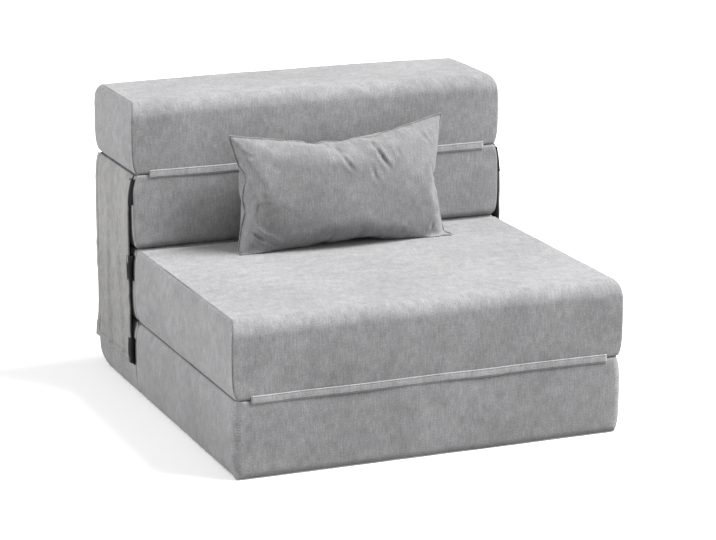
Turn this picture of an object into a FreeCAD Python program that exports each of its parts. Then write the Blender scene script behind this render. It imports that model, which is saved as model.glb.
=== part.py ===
import FreeCAD, Part
import math
import os
import Sketcher

# Convertible chair bed: a mattress of foam blocks in fabric covers, folded in a zigzag.
# Millimetres: +X is the right-hand side as seen from the front, +Y the rear, +Z up.
# The origin is on the floor, under the middle of the long floor layer.

doc = FreeCAD.newDocument("ChairBed")
sheet = doc.addObject("Spreadsheet::Sheet", "Sizes")

DRIVING_SIZES = {
    "block_width": 700,
    "seat_depth": 520,
    "back_depth": 228,
    "base_thickness": 137,
    "seat_thickness": 134,
    "lower_back_thickness": 136,
    "upper_back_thickness": 129,
    "stack_gap": 0.3,
    "cover_wall": 2,
    "side_wall": 6,
    "foam_gap": 0.3,
    "side_bulge": 8,
    "seat_crown": 5,
    "top_crown": 3,
    "front_crown": 1.5,
    "soft_radius": 28,
    "hinge_edge_radius": 5,
    "inner_edge_radius": 12,
    "base_front_radius": 22,
    "heel_radius": 45,
    "base_corner_radius": 20,
    "trim_margin": 20,
    "strip_thickness": 1.4,
    "strip_height": 7.5,
    "strip_inset": 12,
    "hinge_standoff": 2,
    "bead_radius": 1.6,
    "running_gap": 0.3,
    "sewn_gap": 0.25,
    "patch_thickness": 0.8,
    "patch_width": 18,
    "patch_setback": 4,
    "tab_height": 46,
    "tab_thickness": 1,
    "tab_length": 18,
    "tab_setback": 2,
    "lower_back_tab_drop": 7,
    "seat_tab_drop": 11,
    "base_tab_drop": 35,
    "flap_thickness": 1.6,
    "flap_front_setback": 8,
    "flap_rear_setback": 2,
    "flap_standoff": 14.5,
    "flap_ridge": 4.5,
    "flap_valley": 1.5,
    "hem_clearance": 53,
    "hem_corner_rise": 18,
    "hem_corner_run": 55,
    "pillow_width": 400,
    "pillow_height": 216,
    "pillow_thickness": 128,
    "pillow_fullness": 1.08,
    "pillow_seam": 3,
    "pillow_wall": 3,
    "pillow_edge_room": 10,
    "pillow_side_draw": 9,
    "pillow_offset": 8,
    "pillow_turn": 3.4,
    "pillow_rest": 2.3,
    "zipper_length": 600,
    "zipper_tape_width": 26,
    "zipper_tape_thickness": 0.8,
    "chain_width": 6,
    "chain_height": 1.5,
    "stop_length": 3,
    "base_zipper_rise": 70,
    "upper_zipper_rise": 58,
    "slider_length": 12,
    "slider_width": 9.6,
    "slider_tail_width": 8.4,
    "slider_plate": 1.5,
    "slider_parking": 16,
    "arch_span": 6.8,
    "arch_bar": 1,
    "arch_width": 2.2,
    "pull_length": 22,
    "pull_width": 5.8,
    "pull_thickness": 1.2,
    "pull_pin_radius": 0.7,
    "pull_slot_width": 3,
    "pull_slot_reach": 4.6,
    "pull_hole_radius": 1.2,
}

for row, (alias, number) in enumerate(DRIVING_SIZES.items(), start=1):
    sheet.set(f"A{row}", alias)
    sheet.set(f"B{row}", str(number))
    sheet.setAlias(f"B{row}", alias)
doc.recompute()


class Size:
    """A length together with the sheet formula that gives it."""

    def __init__(self, number, formula):
        self.number = float(number)
        self.formula = formula

    def combined(self, other, sign, number):
        return Size(number, f"({self.formula} {sign} {other.formula})")

    def __add__(self, other):
        other = as_size(other)
        return self.combined(other, "+", self.number + other.number)

    def __sub__(self, other):
        other = as_size(other)
        return self.combined(other, "-", self.number - other.number)

    def __mul__(self, other):
        other = as_size(other)
        return self.combined(other, "*", self.number * other.number)

    def __truediv__(self, other):
        other = as_size(other)
        return self.combined(other, "/", self.number / other.number)

    def __neg__(self):
        return as_size(0) - self


def as_size(value):
    if isinstance(value, Size):
        return value
    return Size(value, repr(float(value)))


def named(alias):
    return Size(sheet.get(alias), f"Sizes.{alias}")


def bind(item, prop, size):
    item.setExpression(prop, as_size(size).formula)


def place(item, x=0, y=0, z=0):
    bind(item, "Placement.Base.x", x)
    bind(item, "Placement.Base.y", y)
    bind(item, "Placement.Base.z", z)


SUB_PARTS = []


def sub_part(item, name):
    item.Label = name
    SUB_PARTS.append(item)
    return item


# Levels and planes that several pieces share

half_width = named("block_width") / 2
gap = named("stack_gap")
layer_length = named("seat_depth") + gap + named("back_depth")
front = -layer_length / 2
column_front = front + named("seat_depth") + gap
rear = front + layer_length

seat_bottom = named("base_thickness") + gap
seat_top = seat_bottom + named("seat_thickness")
lower_back_bottom = seat_top + gap
lower_back_top = lower_back_bottom + named("lower_back_thickness")
upper_back_bottom = lower_back_top + gap

front_hinge_height = named("base_thickness") + gap / 2
rear_hinge_height = seat_top + gap / 2
top_hinge_height = lower_back_top + gap / 2


# Sketch helpers


def origin_plane(body, role):
    return next(item for item in body.Origin.OriginFeatures if item.Role == role)


def new_body(name):
    return doc.addObject("PartDesign::Body", name)


def new_sketch(body, name, role, offset):
    sketch = body.newObject("Sketcher::SketchObject", name)
    sketch.AttachmentSupport = [(origin_plane(body, role), "")]
    sketch.MapMode = "FlatFace"
    bind(sketch, "AttachmentOffset.Base.z", offset)
    return sketch


def constrain(sketch, kind, *places, size=None):
    if size is None:
        sketch.addConstraint(Sketcher.Constraint(kind, *places))
        return
    size = as_size(size)
    index = sketch.addConstraint(Sketcher.Constraint(kind, *places, size.number))
    bind(sketch, f"Constraints[{index}]", size)


def pin_point(sketch, geometry, point, x, y):
    constrain(sketch, "DistanceX", -1, 1, geometry, point, size=x)
    constrain(sketch, "DistanceY", -1, 1, geometry, point, size=y)


def vector(x, y):
    return FreeCAD.Vector(as_size(x).number, as_size(y).number, 0)


def arc_edge(centre, radius, start_degrees, end_degrees):
    circle = Part.Circle(centre, FreeCAD.Vector(0, 0, 1), radius)
    return Part.ArcOfCircle(circle, math.radians(start_degrees), math.radians(end_degrees))


def bow_radius(chord, rise):
    return (chord * chord / 4 + rise * rise) / (rise * 2)


def bow_arc(start, end, radius):
    """The short arc from start to end that bulges to the right of that direction."""
    middle = (start + end) * 0.5
    half = (end - start) * 0.5
    inward = FreeCAD.Vector(-half.y, half.x, 0).normalize()
    centre = middle + inward * math.sqrt(radius**2 - half.Length**2)
    first = math.degrees(math.atan2(start.y - centre.y, start.x - centre.x))
    last = math.degrees(math.atan2(end.y - centre.y, end.x - centre.x))
    return arc_edge(centre, radius, first, last if last > first else last + 360)


def join_loop(sketch, count):
    for index in range(count):
        constrain(sketch, "Coincident", index, 2, (index + 1) % count, 1)


def outline_sketch(body, name, role, offset, points, bows=None):
    """A closed loop of lines through points; a bow replaces the line that starts at its index."""
    bows = bows or {}
    sketch = new_sketch(body, name, role, offset)
    ends = points[1:] + points[:1]
    for index, (start, end) in enumerate(zip(points, ends)):
        if index in bows:
            sketch.addGeometry(bow_arc(vector(*start), vector(*end), bows[index].number), False)
        else:
            sketch.addGeometry(Part.LineSegment(vector(*start), vector(*end)), False)
    join_loop(sketch, len(points))
    for index, point in enumerate(points):
        pin_point(sketch, index, 1, *point)
        if index in bows:
            constrain(sketch, "Radius", index, size=bows[index])
    return sketch


class Profile:
    """A block's rounded side view: extents along Y and Z and four edge radii."""

    def __init__(self, depth, thickness, radii, inset=0):
        self.inset = as_size(inset)
        self.front = self.inset
        self.rear = depth - self.inset
        self.bottom = self.inset
        self.top = thickness - self.inset
        self.radii = [radius - self.inset for radius in radii]


def profile_sketch(body, name, profile, offset=0, front_rise=None, top_rise=None):
    """The side view as a sketch: lines and quarter arcs, bowed out by a rise where one is given."""
    sketch = new_sketch(body, name, "YZ_Plane", offset)
    front_bottom, front_top, rear_top, rear_bottom = profile.radii
    centres = {
        1: (profile.rear - rear_bottom, profile.bottom + rear_bottom, rear_bottom, -90),
        3: (profile.rear - rear_top, profile.top - rear_top, rear_top, 0),
        5: (profile.front + front_top, profile.top - front_top, front_top, 90),
        7: (profile.front + front_bottom, profile.bottom + front_bottom, front_bottom, 180),
    }
    arcs = {}
    for index, (x, y, radius, start) in centres.items():
        arcs[index] = arc_edge(vector(x, y), radius.number, start, start + 90)
    bow_chords = {
        4: (profile.rear - rear_top) - (profile.front + front_top),
        6: (profile.top - front_top) - (profile.bottom + front_bottom),
    }
    rises = {4: top_rise, 6: front_rise}
    bow_radii = {}
    for index in range(8):
        if index in arcs:
            sketch.addGeometry(arcs[index], False)
            continue
        start = arcs[(index - 1) % 8].EndPoint
        end = arcs[(index + 1) % 8].StartPoint
        if rises.get(index) is not None:
            bow_radii[index] = bow_radius(bow_chords[index], rises[index])
            sketch.addGeometry(bow_arc(start, end, bow_radii[index].number), False)
        else:
            sketch.addGeometry(Part.LineSegment(start, end), False)
    join_loop(sketch, 8)
    for index, (x, y, radius, start) in centres.items():
        pin_point(sketch, index, 3, x, y)
        constrain(sketch, "Radius", index, size=radius)
        upright_first = start in (-90, 90)
        constrain(sketch, "Vertical" if upright_first else "Horizontal", index, 3, index, 1)
        constrain(sketch, "Horizontal" if upright_first else "Vertical", index, 3, index, 2)
    for index, radius in bow_radii.items():
        constrain(sketch, "Radius", index, size=radius)
    return sketch


def feature(body, kind, name, sketch, length=None, symmetric=False, reverse=False):
    item = body.newObject(f"PartDesign::{kind}", name)
    item.Profile = sketch
    if length is not None:
        bind(item, "Length", length)
    if symmetric:
        item.SideType = "Symmetric"
    item.Reversed = reverse
    return item


def mirrored(body, name, original, role="YZ_Plane"):
    mirror = body.newObject("PartDesign::Mirrored", name)
    mirror.Originals = [original]
    mirror.MirrorPlane = (origin_plane(body, role), [""])
    body.Tip = mirror
    return mirror


def loft_through(body, kind, name, sketches):
    """A loft with straight runs from each sketch to the next."""
    loft = body.newObject(f"PartDesign::{kind}", name)
    loft.Profile = sketches[0]
    loft.Sections = sketches[1:]
    loft.Ruled = True
    return loft


# Foam blocks and their covers

# Shares of the half length from end to end, with the share of the crown that a cover has there
CROWN_STATIONS = ((-1, 0), (-0.5, 0.75), (0, 1), (0.5, 0.75), (1, 0))


def trim_sides(body, depth, thickness):
    """Cuts the ends of a block to side panels that bulge between their top and bottom seams."""
    margin = named("trim_margin")
    far = half_width + named("side_bulge") + margin
    zero = as_size(0)
    points = [
        (half_width, zero),
        (half_width, thickness),
        (half_width, thickness + margin),
        (far, thickness + margin),
        (far, -margin),
        (half_width, -margin),
    ]
    radius = bow_radius(thickness, named("side_bulge"))
    sketch = outline_sketch(body, "SideTrim", "XZ_Plane", margin, points, {0: radius})
    trim = feature(body, "Pocket", "RightSide", sketch, depth + margin * 2)
    mirrored(body, "LeftSide", trim)


def round_front_corners(body, thickness):
    """Rounds the two upright front corners of the base."""
    margin = named("trim_margin")
    radius = named("base_corner_radius")
    side = half_width + named("side_bulge")
    zero = as_size(0)
    points = [
        (side - radius, zero),
        (side, radius),
        (side + margin, radius),
        (side + margin, -margin),
        (side - radius, -margin),
    ]
    sketch = outline_sketch(body, "CornerTrim", "XY_Plane", thickness + margin, points, {0: radius})
    trim = feature(body, "Pocket", "RightCorner", sketch, thickness + margin * 2)
    mirrored(body, "LeftCorner", trim)


def hollow(body, profile):
    sketch = profile_sketch(body, "FoamSpace", profile)
    length = (half_width - named("side_wall")) * 2
    feature(body, "Pocket", "FoamRoom", sketch, length, symmetric=True)


def cover(name, depth, thickness, radii, front_rise=None, top_rise=None, soft_corners=False):
    """A block's cover: crowned where it is free, flat where blocks meet, hollow for the foam."""
    body = new_body(name)
    outer = Profile(depth, thickness, radii)
    end = half_width + named("side_bulge") + named("trim_margin")
    if front_rise is None and top_rise is None:
        feature(body, "Pad", "Block", profile_sketch(body, "Side", outer), end * 2, symmetric=True)
    else:
        sections = []
        for index, (along, share) in enumerate(CROWN_STATIONS):
            rises = [rise * share if rise is not None and share else None for rise in (front_rise, top_rise)]
            sections.append(profile_sketch(body, f"Section{index}", outer, end * along, *rises))
        loft_through(body, "AdditiveLoft", "Block", sections)
    doc.recompute()
    trim_sides(body, depth, thickness)
    if soft_corners:
        round_front_corners(body, thickness)
    hollow(body, Profile(depth, thickness, radii, named("cover_wall")))
    return sub_part(body, f"{name}_cover")


def foam(name, depth, thickness, radii):
    body = new_body(f"{name}_core")
    inner = Profile(depth, thickness, radii, named("cover_wall") + named("foam_gap"))
    length = (half_width - named("side_wall") - named("foam_gap")) * 2
    feature(body, "Pad", "Core", profile_sketch(body, "Side", inner), length, symmetric=True)
    return sub_part(body, f"{name}_foam")


def block(name, y, z, depth, thickness, radii, **forms):
    for piece in (cover(name, depth, thickness, radii, **forms), foam(name, depth, thickness, radii)):
        place(piece, 0, y, z)


soft = named("soft_radius")
hinge_edge = named("hinge_edge_radius")
inner_edge = named("inner_edge_radius")
front_rise = named("front_crown")

# Radii run front bottom, front top, rear top, rear bottom
block(
    "base", front, as_size(0), named("seat_depth"), named("base_thickness"),
    (named("base_front_radius"), hinge_edge, inner_edge, inner_edge),
    front_rise=front_rise, soft_corners=True,
)
block(
    "rear_base", column_front, as_size(0), named("back_depth"), named("base_thickness"),
    (inner_edge, inner_edge, inner_edge, named("heel_radius")),
)
block(
    "seat", front, seat_bottom, named("seat_depth"), named("seat_thickness"),
    (hinge_edge, soft, inner_edge, inner_edge),
    front_rise=front_rise, top_rise=named("seat_crown"),
)
block(
    "rear_seat", column_front, seat_bottom, named("back_depth"), named("seat_thickness"),
    (inner_edge, inner_edge, hinge_edge, inner_edge),
)
block(
    "lower_back", column_front, lower_back_bottom, named("back_depth"), named("lower_back_thickness"),
    (inner_edge, hinge_edge, inner_edge, hinge_edge),
    front_rise=front_rise,
)
block(
    "upper_back", column_front, upper_back_bottom, named("back_depth"), named("upper_back_thickness"),
    (hinge_edge, soft, soft, inner_edge),
    front_rise=front_rise, top_rise=named("top_crown"),
)


# Fabric hinges: a folded bead on the axis, with one leaf sewn to each of the two blocks

strip_length = (half_width - named("strip_inset")) * 2


def leaf(name, outward, y_face, z_bottom, height):
    """A strip lying on a block's face at y_face, on the side that outward (+1 or -1) names."""
    strip = doc.addObject("Part::Box", name)
    bind(strip, "Length", strip_length)
    bind(strip, "Width", named("strip_thickness"))
    bind(strip, "Height", height)
    if outward > 0:
        y = y_face + named("sewn_gap")
    else:
        y = y_face - named("sewn_gap") - named("strip_thickness")
    place(strip, -strip_length / 2, y, z_bottom)
    return strip


def bead(name, y, z):
    roll = doc.addObject("Part::Cylinder", name)
    bind(roll, "Radius", named("bead_radius"))
    bind(roll, "Height", strip_length)
    roll.Placement = FreeCAD.Placement(FreeCAD.Vector(), FreeCAD.Rotation(FreeCAD.Vector(0, 1, 0), 90))
    place(roll, -strip_length / 2, y, z)
    return roll


def fabric_hinge(lower_name, upper_name, outward, y_face, height):
    y_axis = y_face + named("hinge_standoff") * outward
    strip_height = named("strip_height")
    lower_leaf = leaf(f"{lower_name}_leaf", outward, y_face, height - strip_height, strip_height)
    roll = bead(f"{lower_name}_bead", y_axis, height)
    lower = doc.addObject("Part::Fuse", f"{lower_name}_shape")
    lower.Base = lower_leaf
    lower.Tool = roll
    clear = named("bead_radius") + named("running_gap")
    upper = leaf(f"{upper_name}_shape", outward, y_face, height + clear, strip_height - clear)
    sub_part(lower, lower_name)
    sub_part(upper, upper_name)


fabric_hinge("base_hinge_strip", "seat_hinge_strip", -1, front, front_hinge_height)
fabric_hinge("rear_seat_hinge_strip", "lower_back_rear_strip", 1, rear, rear_hinge_height)
fabric_hinge("lower_back_hinge_strip", "upper_back_hinge_strip", -1, column_front, top_hinge_height)


def mirror_copy(source, name):
    copy = doc.addObject("Part::Mirroring", f"{name}_shape")
    copy.Source = source
    copy.Normal = (1, 0, 0)
    return sub_part(copy, name)


# Loop patches on the side panels of the two lower rear blocks

sewn = named("sewn_gap")


def loop_patch(layer, z_block, thickness, drop):
    radius = bow_radius(thickness, named("side_bulge"))
    centre_x = half_width + named("side_bulge") - radius
    inner_radius = radius + sewn
    outer_radius = inner_radius + named("patch_thickness")
    high = thickness - drop
    low = high - named("tab_height")
    body = new_body(f"{layer}_patch_body")
    sketch = new_sketch(body, "Band", "XZ_Plane", 0)
    centre = vector(centre_x, thickness / 2)

    def angle(level, size):
        return math.degrees(math.asin((level.number - thickness.number / 2) / size.number))

    outer_arc = arc_edge(centre, outer_radius.number, angle(low, outer_radius), angle(high, outer_radius))
    inner_arc = arc_edge(centre, inner_radius.number, angle(low, inner_radius), angle(high, inner_radius))
    sketch.addGeometry(outer_arc, False)
    sketch.addGeometry(inner_arc, False)
    sketch.addGeometry(Part.LineSegment(outer_arc.EndPoint, inner_arc.EndPoint), False)
    sketch.addGeometry(Part.LineSegment(inner_arc.StartPoint, outer_arc.StartPoint), False)
    constrain(sketch, "Coincident", 0, 2, 2, 1)
    constrain(sketch, "Coincident", 1, 2, 2, 2)
    constrain(sketch, "Coincident", 1, 1, 3, 1)
    constrain(sketch, "Coincident", 0, 1, 3, 2)
    for index, size in ((0, outer_radius), (1, inner_radius)):
        pin_point(sketch, index, 3, centre_x, thickness / 2)
        constrain(sketch, "Radius", index, size=size)
        constrain(sketch, "DistanceY", -1, 1, index, 1, size=low)
        constrain(sketch, "DistanceY", -1, 1, index, 2, size=high)
    feature(body, "Pad", "Patch", sketch, named("patch_width"), reverse=True)
    place(body, 0, column_front + named("patch_setback"), z_block)
    sub_part(body, f"right_{layer}_patch")
    mirror_copy(body, f"left_{layer}_patch")


loop_patch("base", as_size(0), named("base_thickness"), named("base_tab_drop"))
loop_patch("seat", seat_bottom, named("seat_thickness"), named("seat_tab_drop"))


# Side flaps: cloth that hangs from the lower back's top side seam, with soft upright folds

# Each station is a drop below the seam, then shares of the standoff and of the fold depth
FLAP_STATIONS = ((1, 0.06, 0.05), (6, 0.34, 0.12), (20, 0.7, 0.3), (45, 1, 0.6), (110, 1, 1))
FOLD_COUNT = 6


def mm(alias):
    return sheet.get(alias)


seam_height = lower_back_top.number
hem_height = mm("hem_clearance")
flap_front = column_front.number + mm("flap_front_setback")
flap_rear = rear.number - mm("flap_rear_setback")


def flap_stations():
    """Heights from seam to hem, each with the cloth's distance from the block and its fold share."""
    rows = [(seam_height - drop, share * mm("flap_standoff"), fold) for drop, share, fold in FLAP_STATIONS]
    return rows + [(hem_height, mm("flap_standoff"), 1)]


def flap_offset(height):
    rows = flap_stations()
    for (high, upper, _), (low, lower, _) in zip(rows, rows[1:]):
        if low <= height <= high:
            return lower + (upper - lower) * (height - low) / (high - low)
    return rows[0][1]


def polyarc_wire(pieces):
    """A closed wire from pieces (start, end, bulge vector or None)."""
    edges = []
    for start, end, bulge in pieces:
        if bulge is None:
            edges.append(Part.makeLine(start, end))
        else:
            edges.append(Part.Arc(start, (start + end) * 0.5 + bulge, end).toShape())
    return Part.Wire(edges)


def flap_section(height, offset, fold_share):
    """The cloth's plan outline at one height: a straight hem band, then valleys and ridges."""
    step = (flap_rear - flap_front) / FOLD_COUNT
    inner_x = half_width.number + offset
    outer_x = inner_x + mm("flap_thickness")

    def run(x):
        places = [FreeCAD.Vector(x, flap_front + step * index, height) for index in range(FOLD_COUNT + 1)]
        pieces = [(places[0], places[1], None)]
        for index in range(1, FOLD_COUNT):
            depth = mm("flap_ridge") if index % 2 == 0 else -mm("flap_valley")
            bulge = FreeCAD.Vector(depth * fold_share, 0, 0)
            pieces.append((places[index], places[index + 1], bulge))
        return pieces

    inner = run(inner_x)
    outer = [(end, start, bulge) for start, end, bulge in reversed(run(outer_x))]
    rear_end = (inner[-1][1], outer[0][0], None)
    front_end = (outer[-1][1], inner[0][0], None)
    return polyarc_wire(inner + [rear_end] + outer + [front_end])


def flap_shape():
    sections = [flap_section(*row) for row in flap_stations()]
    cloth = Part.makeLoft(sections, True, True)
    rise = mm("hem_corner_rise")
    run = mm("hem_corner_run")
    beyond = mm("trim_margin")
    slope = rise / run
    corner = [
        FreeCAD.Vector(0, flap_rear - run, hem_height),
        FreeCAD.Vector(0, flap_rear + beyond, hem_height + rise + slope * beyond),
        FreeCAD.Vector(0, flap_rear + beyond, hem_height - beyond),
        FreeCAD.Vector(0, flap_rear - run, hem_height - beyond),
    ]
    cutter = Part.Face(Part.makePolygon(corner + corner[:1])).extrude(FreeCAD.Vector(block_reach(), 0, 0))
    return cloth.cut(cutter)


def block_reach():
    return half_width.number + mm("flap_standoff") * 2 + mm("trim_margin")


def bulge_at(depth_below_top, thickness):
    """How far a side panel stands out from its seams at a depth below its top seam."""
    radius = bow_radius(as_size(thickness), named("side_bulge")).number
    half = thickness / 2
    return math.sqrt(radius**2 - (half - depth_below_top) ** 2) - (radius - mm("side_bulge"))


def tab_section(height, inner_x, outer_x):
    """A tape folded round the slit between a block's side and the flap, open to the rear."""
    front_y = column_front.number + mm("tab_setback")
    rear_y = front_y + mm("tab_length")

    def turn(inset):
        """The fold's outline, taken in by inset, from the outer leg's rear end to the inner leg's."""
        near, far, bend = inner_x + inset, outer_x - inset, front_y + inset
        corner = (far - near) / 4
        return [
            (far, rear_y), (far, bend + corner), (far - corner, bend),
            (near + corner, bend), (near, bend + corner), (near, rear_y),
        ]

    outline = turn(0) + list(reversed(turn(mm("tab_thickness"))))
    points = [FreeCAD.Vector(half_width.number + x, y, height) for x, y in outline]
    return Part.makePolygon(points + points[:1])


def tab_shape(top, bottom, inner_of):
    flap_levels = [row[0] for row in flap_stations()]
    heights = [top] + [level for level in flap_levels if bottom < level < top] + [bottom]
    sections = [
        tab_section(height, inner_of(height), flap_offset(height) - mm("sewn_gap")) for height in heights
    ]
    return Part.makeLoft(sections, True, True)


def coded_part(name, shape):
    item = doc.addObject("Part::Feature", f"{name}_shape")
    item.Shape = shape
    return sub_part(item, name)


# The side panel's curve rises above the straight run between two heights by about this much
CURVE_ALLOWANCE = 0.4


def over_lower_back(height):
    bulge = bulge_at(seam_height - height, mm("lower_back_thickness"))
    return bulge + mm("sewn_gap") + CURVE_ALLOWANCE


def over_patch(height):
    return mm("side_bulge") + mm("sewn_gap") + mm("patch_thickness") + mm("running_gap")


tab_tops = {
    "upper": (seam_height - mm("lower_back_tab_drop"), over_lower_back),
    "middle": (seat_top.number - mm("seat_tab_drop"), over_patch),
    "lower": (mm("base_thickness") - mm("base_tab_drop"), over_patch),
}
right_flap = coded_part("right_flap", flap_shape())
mirror_copy(right_flap, "left_flap")
for position, (top, inner_of) in tab_tops.items():
    tab = coded_part(f"right_{position}_tab", tab_shape(top, top - mm("tab_height"), inner_of))
    mirror_copy(tab, f"left_{position}_tab")


# Pillow: a knife-edge cushion, fullest in the middle, with its two short sides drawn in


def pillow_form(name, wall=0, edge_room=0, end_room=0):
    """A full lens in side view and in plan, taken in by a wall and by rooms at edges and ends."""
    seam = named("pillow_seam") / 2
    half_height = named("pillow_height") / 2 - edge_room
    end = named("pillow_width") / 2 - end_room
    crown = named("pillow_thickness") / 2 - wall
    body = new_body(name)
    side_view = [(seam, -half_height), (seam, half_height), (-seam, half_height), (-seam, -half_height)]
    side_bow = bow_radius(half_height * 2, crown * named("pillow_fullness") - seam)
    lens = outline_sketch(body, "Lens", "YZ_Plane", as_size(0), side_view, {0: side_bow, 2: side_bow})
    feature(body, "Pad", "Bolster", lens, end * 2, symmetric=True)
    doc.recompute()
    beyond = end + named("trim_margin")
    deep = named("pillow_thickness")
    plan_view = [
        (end, seam), (-end, seam), (-beyond, seam), (-beyond, deep), (beyond, deep), (beyond, seam),
    ]
    plan = outline_sketch(body, "Plan", "XY_Plane", as_size(0), plan_view, {0: plan_bow(end, crown)})
    taper = feature(body, "Pocket", "RearTaper", plan, named("pillow_height") * 2, symmetric=True)
    mirrored(body, "FrontTaper", taper, "XZ_Plane")
    return body


def plan_bow(end, crown):
    return bow_radius(end * 2, crown - named("pillow_seam") / 2)


def draw_in_ends(body):
    """Hollows the pillow's two short sides a little, which leaves its corners as ears."""
    margin = named("trim_margin")
    end = named("pillow_width") / 2
    tall = named("pillow_height") / 2 + margin
    ear = named("pillow_height") / 2
    points = [
        (end, ear), (end, -ear), (end, -tall), (end + margin, -tall), (end + margin, tall), (end, tall),
    ]
    radius = bow_radius(ear * 2, named("pillow_side_draw"))
    sketch = outline_sketch(body, "EndDraw", "XZ_Plane", as_size(0), points, {0: radius})
    trim = feature(body, "Pocket", "RightEnd", sketch, named("pillow_thickness") * 2, symmetric=True)
    mirrored(body, "LeftEnd", trim)


def turned_pillow(piece, name):
    """Stands the pillow on the seat, leaning on the back and turned a little to one side."""
    turn = mm("pillow_turn")
    crown = named("pillow_thickness") / 2
    arc_depth = plan_bow(named("pillow_width") / 2, crown) - crown
    turn_share = Size(1 - math.cos(math.radians(turn)), "(1 - cos(Sizes.pillow_turn * 1 deg))")
    reach = crown + arc_depth * turn_share
    y = column_front - named("hinge_standoff") - named("bead_radius") - named("running_gap") - reach
    z = seat_top + named("pillow_rest") + named("pillow_height") / 2
    piece.Placement = FreeCAD.Placement(FreeCAD.Vector(), FreeCAD.Rotation(FreeCAD.Vector(0, 0, 1), -turn))
    place(piece, named("pillow_offset"), y, z)
    sub_part(piece, name)


pillow_skin = pillow_form("pillow_skin")
draw_in_ends(pillow_skin)
wall = named("pillow_wall")
edge_room = named("pillow_edge_room")
end_room = named("pillow_side_draw") + edge_room
pillow_cover = doc.addObject("Part::Cut", "pillow_cover_shape")
pillow_cover.Base = pillow_skin
pillow_cover.Tool = pillow_form("pillow_room", wall, edge_room, end_room)
turned_pillow(pillow_cover, "pillow_cover")

slack = named("foam_gap")
filling = pillow_form("pillow_core", wall + slack, edge_room + slack * 2, end_room + slack * 2)
turned_pillow(filling, "pillow_filling")


# Zippers on the two free ends of the folded mattress


def solid_box(name, length, width, height, x, y, z):
    item = doc.addObject("Part::Box", name)
    bind(item, "Length", length)
    bind(item, "Width", width)
    bind(item, "Height", height)
    place(item, x, y, z)
    return item


def zipper(name, y_tape, z_middle):
    """The tape with its closed chain and an end stop at either end."""
    length = named("zipper_length")
    y_chain = y_tape + named("zipper_tape_thickness")
    tape_half = named("zipper_tape_width") / 2
    chain_half = named("chain_width") / 2
    stop = named("stop_length")
    stop_height = named("chain_height") + named("zipper_tape_thickness")
    tape = solid_box(
        f"{name}_tape", length, named("zipper_tape_thickness"), tape_half * 2,
        -length / 2, y_tape, z_middle - tape_half,
    )
    chain = solid_box(
        f"{name}_chain", length - stop * 2, named("chain_height"), chain_half * 2,
        -length / 2 + stop, y_chain, z_middle - chain_half,
    )
    left_stop = solid_box(
        f"{name}_left_stop", stop, stop_height, chain_half * 2 + stop,
        -length / 2, y_chain, z_middle - chain_half - stop / 2,
    )
    right_stop = solid_box(
        f"{name}_right_stop", stop, stop_height, chain_half * 2 + stop,
        length / 2 - stop, y_chain, z_middle - chain_half - stop / 2,
    )
    whole = doc.addObject("Part::MultiFuse", f"{name}_shape")
    whole.Shapes = [tape, chain, left_stop, right_stop]
    sub_part(whole, name)


slider_floor = named("running_gap")
channel_top = named("chain_height") + named("running_gap")
plate_top = channel_top + named("slider_plate")
pull_axis = plate_top + named("pull_thickness") / 2 + named("running_gap")
arch_under = pull_axis + named("pull_pin_radius") + named("running_gap")


def slider(name, y_chain, z_middle):
    """A wedge-shaped body that straddles the chain, with an arch that carries the pull."""
    body = new_body(f"{name}_body")
    nose = named("slider_length") / 2
    wide = named("slider_width") / 2
    slim = named("slider_tail_width") / 2
    outline = [(-nose, -slim), (nose, -wide), (nose, wide), (-nose, slim)]
    bow = bow_radius(wide * 2, named("arch_bar"))
    plan = outline_sketch(body, "Plan", "XZ_Plane", -slider_floor, outline, {1: bow})
    feature(body, "Pad", "Wedge", plan, plate_top - slider_floor, reverse=True)
    doc.recompute()
    groove_half = named("chain_width") / 2 + named("running_gap")
    beyond = nose + wide
    groove = [
        (-beyond, -groove_half), (beyond, -groove_half), (beyond, groove_half), (-beyond, groove_half),
    ]
    groove_plan = outline_sketch(body, "Groove", "XZ_Plane", as_size(0), groove)
    feature(body, "Pocket", "ChainGroove", groove_plan, channel_top)
    doc.recompute()
    half_span = named("arch_span") / 2
    inner_half = half_span - named("arch_bar")
    outer_top = arch_under + named("arch_bar")
    sunk = plate_top - named("slider_plate") / 2
    arch = [
        (-half_span, sunk), (-inner_half, sunk), (-inner_half, arch_under), (inner_half, arch_under),
        (inner_half, sunk), (half_span, sunk), (half_span, outer_top), (-half_span, outer_top),
    ]
    arch_plan = outline_sketch(body, "Arch", "XY_Plane", as_size(0), arch)
    feature(body, "Pad", "PullArch", arch_plan, named("arch_width"), symmetric=True)
    x = named("zipper_length") / 2 - named("slider_parking")
    place(body, x, y_chain, z_middle)
    sub_part(body, name)


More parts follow.
